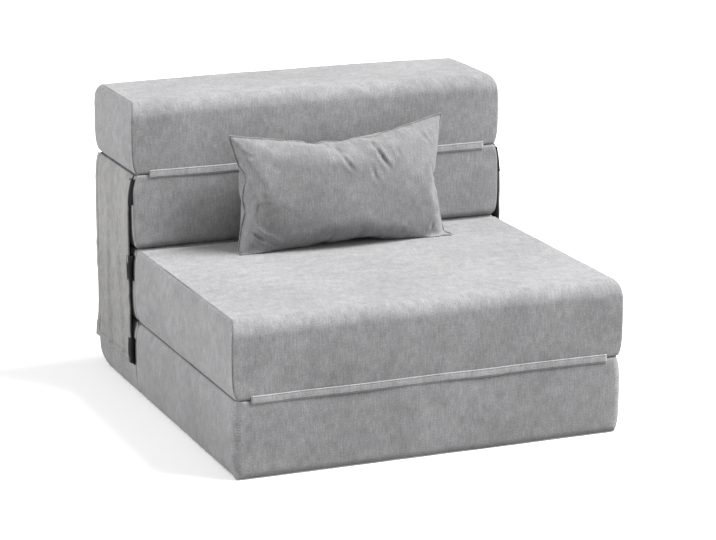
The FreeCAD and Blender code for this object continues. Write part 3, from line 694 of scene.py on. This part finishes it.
def pillow_net():
    """Vertex numbers of the two layers, which share their edge, and the cut's flat coordinates."""
    wide, tall = PILLOW_CELLS
    across = np.linspace(-1, 1, wide + 1)
    up = np.linspace(-1, 1, tall + 1)
    flat = np.stack(np.meshgrid(across, up), axis=-1)
    front = np.arange((wide + 1) * (tall + 1)).reshape(tall + 1, wide + 1)
    back = front.copy()
    inner = (tall - 1) * (wide - 1)
    back[1:-1, 1:-1] = np.arange(front.size, front.size + inner).reshape(tall - 1, wide - 1)
    return flat, front, back


def pillow_start(flat, swell):
    random = np.random.default_rng(5)
    depth = swell * (1 - flat[..., 0] ** 4) * (1 - flat[..., 1] ** 4)
    jitter = random.normal(size=depth.shape) * 0.15 * MM * (depth > 0.1 * MM)
    x, z = flat[..., 0] * PILLOW_CUT[0] / 2, flat[..., 1] * PILLOW_CUT[1] / 2
    front = np.stack([x, -depth + jitter, z], axis=-1).reshape(-1, 3)
    back = np.stack([x, depth + jitter[::-1], z], axis=-1)[1:-1, 1:-1].reshape(-1, 3)
    return np.concatenate([front, back])


def blown_up(points, faces):
    """Runs the cloth with pressure inside and no weight, and returns where its points end."""
    frames = 20
    mesh = bpy.data.meshes.new("pillow_run")
    mesh.from_pydata(points.tolist(), [], faces)
    piece = bpy.data.objects.new("pillow_run", mesh)
    scene = bpy.context.scene
    scene.collection.objects.link(piece)
    cloth = piece.modifiers.new("cloth", "CLOTH")
    settings = cloth.settings
    settings.quality = 5
    settings.mass = 0.3
    settings.tension_stiffness = 15
    settings.compression_stiffness = 15
    settings.shear_stiffness = 7.5
    settings.bending_stiffness = 0.5
    settings.use_pressure = True
    settings.uniform_pressure_force = 4.5
    settings.effector_weights.gravity = 0
    cloth.collision_settings.use_collision = False
    cloth.point_cache.frame_end = frames
    scene.frame_start, scene.frame_end = 1, frames
    for frame_number in range(1, frames + 1):
        scene.frame_set(frame_number)
    shaped = piece.evaluated_get(bpy.context.evaluated_depsgraph_get()).to_mesh()
    result = np.array([vertex.co[:] for vertex in shaped.vertices])
    bpy.data.objects.remove(piece)
    bpy.data.meshes.remove(mesh)
    scene.frame_set(1)
    return result


def smooth_step(value, low, high):
    share = np.clip((value - low) / (high - low), 0, 1)
    return share * share * (3 - 2 * share)


def crease(x, z, start, end, depth, width):
    """A sewn-in fold: a valley along a short line with a soft ridge beside it."""
    start, end = np.array(start) * MM, np.array(end) * MM
    run = end - start
    length = np.linalg.norm(run)
    run = run / length
    along = (x - start[0]) * run[0] + (z - start[1]) * run[1]
    aside = (x - start[0]) * -run[1] + (z - start[1]) * run[0]
    aside = aside + 2.5 * MM * np.sin(along / length * math.pi)
    fade = smooth_step(along, -0.25 * length, 0.1 * length)
    fade = fade * (1 - smooth_step(along, 0.55 * length, 1.2 * length))
    width = width * MM
    valley = bell(aside, 0.5 * width)
    ridge = 0.55 * bell(aside - width, 0.7 * width) + 0.35 * bell(aside + width, 0.8 * width)
    return CREASE_GAIN * depth * MM * fade * (valley - ridge)


def ear_bend(points):
    """The lower corners fold forward where the pillow stands on them."""
    bend_line, radius, most = EAR_LINE, EAR_RADIUS, EAR_TURN
    ear = smooth_step(np.abs(points[:, 0]), EAR_INNER, EAR_OUTER)
    past = np.maximum(bend_line - points[:, 2], 0) * ear
    angle = np.minimum(past / radius, most)
    straight = np.maximum(past - radius * most, 0)
    drop = radius * np.sin(angle) + straight * math.cos(most)
    ahead = radius * (1 - np.cos(angle)) + straight * math.sin(most)
    points[:, 2] += past - drop
    points[:, 1] -= ahead
    return points


def seat_top(points):
    """How high the seat's crowned top is below each point."""
    low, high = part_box("seat_cover")
    share = (points[:, 1] - (low.y + high.y) / 2) / ((high.y - low.y) / 2)
    crown = SEAT_SWELL * (1 - np.clip(share, -1, 1) ** 2) * (1 - (points[:, 0] / CROWN_REACH) ** 2)
    return high.z - 5 * MM + crown


def fitted_pillow(points):
    """Takes the blown-up shape to its place on the seat, leaning on the back."""
    x, y, z = points.T.copy()
    x = x * 0.975
    y = y * 1.1
    z = z * (1 + 0.035 * x / (200 * MM))
    front = y < -1 * MM
    dent = np.zeros(len(x))
    for start, end, depth, width in PILLOW_CREASES:
        dent += crease(x, z, start, end, depth, width)
    y = y + np.where(front, dent * smooth_step(-y, 0.5 * MM, 10 * MM), 0)
    points = ear_bend(np.stack([x, y, z], axis=1))
    lean = math.radians(PILLOW_LEAN)
    y, z = points[:, 1].copy(), points[:, 2].copy()
    points[:, 1] = y * math.cos(lean) + z * math.sin(lean)
    points[:, 2] = z * math.cos(lean) - y * math.sin(lean)
    points += PILLOW_MIDDLE
    floor = seat_top(points) + 1.2 * MM
    under = np.maximum(floor - points[:, 2], 0)
    points[:, 2] = np.maximum(points[:, 2], floor)
    points[:, 1] += np.where(points[:, 1] > PILLOW_MIDDLE[1], 1, -1) * under * 0.25
    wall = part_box("lower_back_cover")[0].y - 1.2 * MM
    points[:, 1] = np.minimum(points[:, 1], wall)
    return points


def make_pillow(material, wadding):
    flat, front, back = pillow_net()
    faces = []
    for net, turned in ((front, False), (back, True)):
        corners = [net[:-1, :-1], net[:-1, 1:], net[1:, 1:], net[1:, :-1]]
        quads = np.stack([corner.reshape(-1) for corner in corners], axis=1)
        faces += (quads[:, ::-1] if turned else quads).tolist()
    points = blown_up(pillow_start(flat, 14 * MM), faces)
    points = fitted_pillow(points)
    half_wide, half_tall = PILLOW_CUT[0] / 2, PILLOW_CUT[1] / 2
    cut = flat * (half_wide, half_tall)
    edge = np.minimum((1 - np.abs(flat[..., 0])) * half_wide, (1 - np.abs(flat[..., 1])) * half_tall)
    edges = np.concatenate([edge.reshape(-1), edge[1:-1, 1:-1].reshape(-1)])
    build = Build()
    # The edge seam is darkened: painted shade along it, with dust; the edges are lightened by wear
    build.rows(points, 0.55 * bell(edges, 2.5 * MM), np.exp(-edges / (14 * MM)))
    build.quads(front, cut)
    build.quads(back, cut + (0.6, 0.0), flip=True)
    pillow = subdivided(build.piece("pillow", material))
    welt = make_welt("pillow_welt", points[border(front)], 1.5 * MM, material)
    filling = Build()
    middle = points.mean(axis=0)
    kept = slice(WADDING_INSET, -WADDING_INSET)
    near, far, core_cut = (grid[kept, kept] for grid in (front, back, cut))
    core_points = middle + (points - middle) * WADDING_SIZE
    near, far = filling.rows(core_points[near]), filling.rows(core_points[far])
    filling.quads(near, core_cut)
    filling.quads(far, core_cut, flip=True)
    rims = np.stack([border(far), border(near)])
    filling.quads(rims, np.zeros((2, rims.shape[1] + 1, 2)), closed=True)
    core = filling.piece("pillow_wadding", wadding)
    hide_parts("pillow_cover")
    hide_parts("pillow_filling")
    for piece, slot in ((pillow, "pillow_fabric"), (welt, "pillow_fabric"), (core, "wadding")):
        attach(piece, "pillow")


def subdivided(piece, levels=1):
    modifier = piece.modifiers.new("finer", "SUBSURF")
    modifier.levels = levels
    modifier.render_levels = levels
    graph = bpy.context.evaluated_depsgraph_get()
    shaped = piece.evaluated_get(graph)
    piece.data = bpy.data.meshes.new_from_object(shaped, preserve_all_data_layers=True, depsgraph=graph)
    piece.modifiers.clear()
    return piece


def make_welt(name, ring, radius, material):
    """A thin sewn edge: a round cord of cloth along a closed line."""
    count = 8
    ahead = np.roll(ring, -1, axis=0) - np.roll(ring, 1, axis=0)
    ahead /= np.linalg.norm(ahead, axis=1)[:, None]
    side = np.cross(ahead, (0, 1, 0))
    side /= np.linalg.norm(side, axis=1)[:, None]
    out = np.cross(side, ahead)
    angles = np.linspace(0, 2 * math.pi, count, endpoint=False)
    rows = [ring + radius * (side * math.cos(angle) + out * math.sin(angle)) for angle in angles]
    runs = running(np.linalg.norm(np.roll(ring, -1, axis=0) - ring, axis=1))
    around = np.linspace(0, 2 * math.pi * radius, count + 1)
    build = Build()
    index = build.rows(np.array(rows), 0.0, 0.8)
    index = np.concatenate([index, index[:1]], axis=0)
    uv = np.stack(np.meshgrid(runs, around), axis=-1)
    build.quads(index, uv, closed=True, flip=True)
    return build.piece(name, material)


# Cloth that hangs at the sides

SIDE_WORDS = {-1: "left", 1: "right"}
CLOTH = 1.2 * MM
HEM = 12 * MM
FLAP_WIDE = 0.218
FLAP_TALL = 0.354
# Distances out from the middle: where the flap is sewn on, and how near and far it hangs
FLAP_TOP = 352.2 * MM
FLAP_NEAR = 359.4 * MM
FLAP_FAR = 369.6 * MM
FLAP_FOLDS = [
    # place from the rear (share), lean towards the front going down (share), height (mm), width (mm)
    (0.36, 0.03, 6.6, 4.6),
    (0.46, 0.02, -2.6, 8.0),
    (0.62, 0.24, 6.2, 4.2),
    (0.72, 0.20, -3.0, 7.0),
    (0.13, 0.00, 3.0, 7.0),
    (0.24, 0.03, -2.0, 9.0),
    (0.88, -0.04, 2.0, 7.0),
]


def flap_surface(share, down, box, side):
    """The hanging flap's middle surface; share runs from the rear to the front, down from 0 to 1."""
    low, high = box
    rear, front = high.y - 6 * MM, low.y + 0.6 * MM
    y = rear + (front - rear) * share
    hem = low.z + 1.0 * MM + 9 * MM * (np.abs(share - 0.35) / 0.65) ** 1.5
    z = high.z + (hem - high.z) * down
    drop = high.z - z
    x = FLAP_TOP + 7.9 * MM * (1 - np.exp(-drop / (16 * MM)))
    loose = smooth_step(down, 0.03, 0.55)
    for place, lean, height, width in FLAP_FOLDS:
        aside = (share - place - lean * (down - 0.3)) * (rear - front)
        x = x + height * MM * loose * bell(aside, width * MM)
    x = x + 4.6 * MM * smooth_step(share, 0.66, 1.0) * (1 - np.exp(-drop / (24 * MM)))
    x = x + 4.0 * MM * smooth_step(0.12 - share, 0.0, 0.12) * smooth_step(down, 0.84, 1.0)
    y = y + 5.0 * MM * smooth_step(0.15 - share, 0.0, 0.15) * smooth_step(down, 0.90, 1.0)
    flat = np.stack([share * FLAP_WIDE, down * FLAP_TALL], axis=-1)
    noise = waves(flat.reshape(-1, 2), 31 + side, 26 * MM, 120 * MM).reshape(share.shape)
    x = x + 0.55 * MM * noise * loose
    x = np.maximum(x, FLAP_NEAR - 7.2 * MM * np.exp(-drop / (12 * MM)))
    x = np.minimum(x, FLAP_FAR)
    return np.stack([side * x, y, z], axis=-1)


def sheet_piece(name, material, surface, edge_seam, thickness, reverse=0.0):
    """A closed sheet of cloth round a grid of middle points; reverse paints shade onto its back."""
    ahead = np.gradient(surface, axis=1)
    down = np.gradient(surface, axis=0)
    normal = np.cross(ahead, down)
    normal /= np.linalg.norm(normal, axis=-1)[..., None]
    half = thickness[..., None] / 2
    build = Build()
    outer = build.rows(surface + normal * half, edge_seam, 0.2)
    # The inner face takes painted shade as strong as reverse
    inner = build.rows(surface - normal * half, np.maximum(edge_seam, reverse), 0.0)
    steps = np.linalg.norm(np.diff(surface, axis=1), axis=-1).mean(axis=0)
    falls = np.linalg.norm(np.diff(surface, axis=0), axis=-1).mean(axis=1)
    uv = np.stack(np.meshgrid(running(steps), running(falls)), axis=-1)
    build.quads(outer, uv)
    build.quads(inner, uv + (0.4, 0.0), flip=True)
    loop_uv = border(uv)
    loop_uv = np.stack([loop_uv, loop_uv + (0.0, CLOTH)])
    loop_uv = np.concatenate([loop_uv, loop_uv[:, :1]], axis=1)
    build.quads(np.stack([border(inner), border(outer)]), loop_uv, closed=True)
    return build.piece(name, material, offset=(0.23, 0.11))


def make_flap(side, material):
    word = SIDE_WORDS[side]
    node = f"{word}_flap"
    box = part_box(node)
    share = np.concatenate([[0, 0.006], np.linspace(0.02, 0.98, 78), [0.994, 1]])
    down = np.concatenate([[0, 0.004], np.linspace(0.012, 0.988, 110), [0.996, 1]])
    share, down = np.meshgrid(share[::side], down)
    surface = flap_surface(share, down, box, side)
    from_edge = np.minimum(np.minimum(share, 1 - share) * FLAP_WIDE, (1 - down) * FLAP_TALL)
    hem = 1 - smooth_step(from_edge, HEM - 1.5 * MM, HEM + 0.5 * MM)
    thickness = CLOTH + 1.0 * MM * hem
    thickness = thickness + 1.6 * MM * smooth_step(share, 0.975, 0.99)
    stitch = 0.75 * bell(from_edge - HEM, 1.3 * MM)
    # reverse=0.9 paints shade on the flap's back, which faces the block across the dark gap
    flap = sheet_piece(f"{word}_side_flap", material, surface, stitch, thickness, reverse=0.9)
    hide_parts(node)
    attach(flap, "lower_back")
    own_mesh(flap)


# How far out from the middle each tape's inner and outer run lie (mm)
TAB_REACHES = {"upper": (351.0, 361.0), "middle": (359.9, 366.2), "lower": (359.9, 366.4)}


def make_tab(side, level, material):
    """A short black tape, sewn to the flap's front edge and folded round onto the block's patch."""
    word = SIDE_WORDS[side]
    node = f"{word}_{level}_tab"
    low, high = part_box(node)
    inner, outer = (reach * MM for reach in TAB_REACHES[level])
    front = low.y - 0.5 * MM
    turn = (outer - inner) / 2
    path = [(inner + 0.3 * MM, high.y)]
    path += [(inner, front + turn + 5 * MM)]
    for angle in np.linspace(0, math.pi, 13):
        path.append((inner + turn - turn * math.cos(angle), front + turn - turn * math.sin(angle)))
    path += [(outer, front + turn + 4 * MM), (outer - 0.2 * MM, high.y - 3 * MM)]
    path = np.array(path)
    rows = []
    for share in np.linspace(0, 1, 24):
        z = high.z + (low.z - high.z) * share + (5 * MM if level == "lower" else 0)
        sway = 0.4 * MM * math.sin(share * 5.0 + side)
        skew = 7.0 * MM * (share - 0.5) if level == "upper" else 0.0
        x = path[:, 0] + sway + skew * np.clip((path[:, 0] - inner) / (2 * turn), 0.2, 1)
        rows.append(np.stack([side * x, path[:, 1] + sway, np.full(len(path), z)], axis=1))
    surface = np.array(rows)[:, ::side]
    thickness = np.full(surface.shape[:2], 1.3 * MM)
    tab = sheet_piece(f"{word}_{level}_tape", material, surface, 0.0, thickness)
    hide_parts(node)
    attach(tab, "lower_back")
    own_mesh(tab)


def make_patch(side, body, material):
    """The loop half of the fastening, sewn flat on the block's side."""
    word = SIDE_WORDS[side]
    node = f"{word}_{body}_patch"
    low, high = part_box(node)
    block_low, block_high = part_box(f"rear_{body}_cover")
    y, z = np.meshgrid(np.linspace(high.y, low.y, 10)[::side], np.linspace(high.z, low.z, 24))
    x = BLOCK_HALF + side_bulge(z, block_low.z, block_high.z) + 0.75 * MM
    surface = np.stack([side * x, y, z], axis=-1)
    thickness = np.full(x.shape, 1.1 * MM)
    patch = sheet_piece(f"{word}_{body}_tape_patch", material, surface, 0.0, thickness)
    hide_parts(node)
    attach(patch, body)


# The zippers across the rear faces

TOOTH_PITCH = 2.4 * MM
TOOTH_SHIFT = 1.0 * MM
TOOTH_SIZE = (1.3 * MM, 1.3 * MM, 4.2 * MM)
STOP_SIZE = (3 * MM, 1.5 * MM, 7 * MM)
BOX_FACES = np.array([(0, 1, 3, 2), (4, 6, 7, 5), (0, 4, 5, 1), (2, 3, 7, 6), (0, 2, 6, 4), (1, 5, 7, 3)])


def add_box(build, middle, size, uv):
    signs = np.array([(x, y, z) for x in (-1, 1) for y in (-1, 1) for z in (-1, 1)])
    corners = build.rows(np.array(middle) + signs * (np.array(size) / 2))
    for face in BOX_FACES:
        build.polygon(corners[face], np.full((4, 2), uv))


def make_zipper(node, body, tape_cloth, teeth_material):
    low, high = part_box(node)
    middle = (low.z + high.z) / 2
    x, z = np.meshgrid(np.linspace(low.x, high.x, 160), np.linspace(high.z, low.z, 15))
    from_edge = np.minimum(z - low.z, high.z - z)
    flat = np.stack([x.ravel(), z.ravel()], axis=1)
    lift = 0.35 * MM * waves(flat, 41, 40 * MM, 160 * MM).reshape(x.shape)
    y = low.y + 1.2 * MM + 0.2 * lift + 0.5 * MM * bell(z - middle, 3 * MM)
    surface = np.stack([x, y, z], axis=-1)
    stitch = 0.8 * bell(from_edge - 2.6 * MM, 0.9 * MM)
    tape = sheet_piece(f"{body}_zipper_tape", tape_cloth, surface, stitch, np.full(x.shape, 0.9 * MM))
    teeth = Build()
    count = int((high.x - low.x - 8 * MM) / TOOTH_PITCH)
    y_teeth = high.y - 0.75 * MM
    for number in range(count):
        x_tooth = low.x + 6 * MM + number * TOOTH_PITCH
        shift = TOOTH_SHIFT if number % 2 else -TOOTH_SHIFT
        add_box(teeth, (x_tooth, y_teeth, middle + shift), TOOTH_SIZE, number * 0.01)
    for x_stop in (low.x + 3 * MM, high.x - 3 * MM):
        add_box(teeth, (x_stop, y_teeth, middle), STOP_SIZE, 0.0)
    row = teeth.piece(f"{body}_zipper_teeth", teeth_material)
    row.data.shade_flat()
    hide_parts(node)
    for piece, slot in ((tape, "zipper_tape"), (row, "zipper_metal")):
        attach(piece, body)


bpy.context.scene.view_settings.view_transform = "Standard"
make_camera()
make_lights()
make_world()
make_floor()

cover_cloth = fabric_material("cover_suede", (0.240, 0.238, 0.243))
band_cloth = fabric_material("band_suede", (0.300, 0.297, 0.303))
pillow_cloth = fabric_material("pillow_suede", (0.200, 0.198, 0.202))
flap_cloth = fabric_material("flap_suede", (0.240, 0.238, 0.235))
foam = foam_material()
metal = metal_material()
wadding = wadding_material()
black_tape = tape_material("black_tape", (0.012, 0.012, 0.013), 900.0)
zipper_tape = tape_material("zipper_tape", (0.13, 0.13, 0.135), 1400.0)

plain = (11 * MM, 0.0)
no_edge = (0.01 * MM, 0.0)

cushion(
    "base_cushion", "base", "base_cover", [12 * MM, 5 * MM, 12 * MM, 12 * MM], cover_cloth, seed=11,
    front_crown=FRONT_CROWN, corner=14 * MM,
    edges={
        FRONT: no_edge, FRONT_BOTTOM_ARC: no_edge, FRONT_TOP_ARC: no_edge,
        BOTTOM: plain, REAR_BOTTOM_ARC: plain,
    },
)
cushion(
    "rear_base_cushion", "base", "rear_base_cover",
    [12 * MM, 12 * MM, 12 * MM, 45 * MM], cover_cloth, seed=12,
    edges={BOTTOM: plain, REAR_BOTTOM_ARC: plain, FRONT_BOTTOM_ARC: plain},
)
cushion(
    "seat_cushion", "seat", "seat_cover", [5 * MM, 28 * MM, 12 * MM, 12 * MM], cover_cloth, seed=13,
    front_crown=FRONT_CROWN, top_crown=5 * MM, swell=SEAT_SWELL,
)
cushion(
    "rear_seat_cushion", "seat", "rear_seat_cover",
    [12 * MM, 12 * MM, 5 * MM, 12 * MM], cover_cloth, seed=14,
)
cushion(
    "lower_back_cushion", "lower_back", "lower_back_cover",
    [12 * MM, 5 * MM, 12 * MM, 5 * MM], cover_cloth, seed=15, front_crown=FRONT_CROWN,
)
cushion(
    "upper_back_cushion", "upper_back", "upper_back_cover",
    [5 * MM, 28 * MM, 28 * MM, 12 * MM], cover_cloth, seed=16,
    front_crown=FRONT_CROWN, top_crown=3 * MM, swell=1.2 * MM, bow=3 * MM,
)
hinge_band(
    "front_hinge_band",
    "base_hinge_strip", "seat_hinge_strip", band_cloth, seed=21,
)
hinge_band(
    "rear_hinge_band",
    "rear_seat_hinge_strip", "lower_back_rear_strip", band_cloth, seed=22,
)
hinge_band(
    "back_hinge_band",
    "lower_back_hinge_strip", "upper_back_hinge_strip", band_cloth, seed=23,
)

make_pillow(pillow_cloth, wadding)
for side in (-1, 1):
    make_flap(side, flap_cloth)
    for level in ("upper", "middle", "lower"):
        make_tab(side, level, black_tape)
    for body in ("base", "seat"):
        make_patch(side, body, black_tape)
make_zipper("base_zipper", "base", zipper_tape, metal)
make_zipper("upper_back_zipper", "upper_back", zipper_tape, metal)

for node_name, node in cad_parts.items():
    node.data.materials.clear()
    node.data.materials.append(foam if node_name.endswith("_foam") else metal)
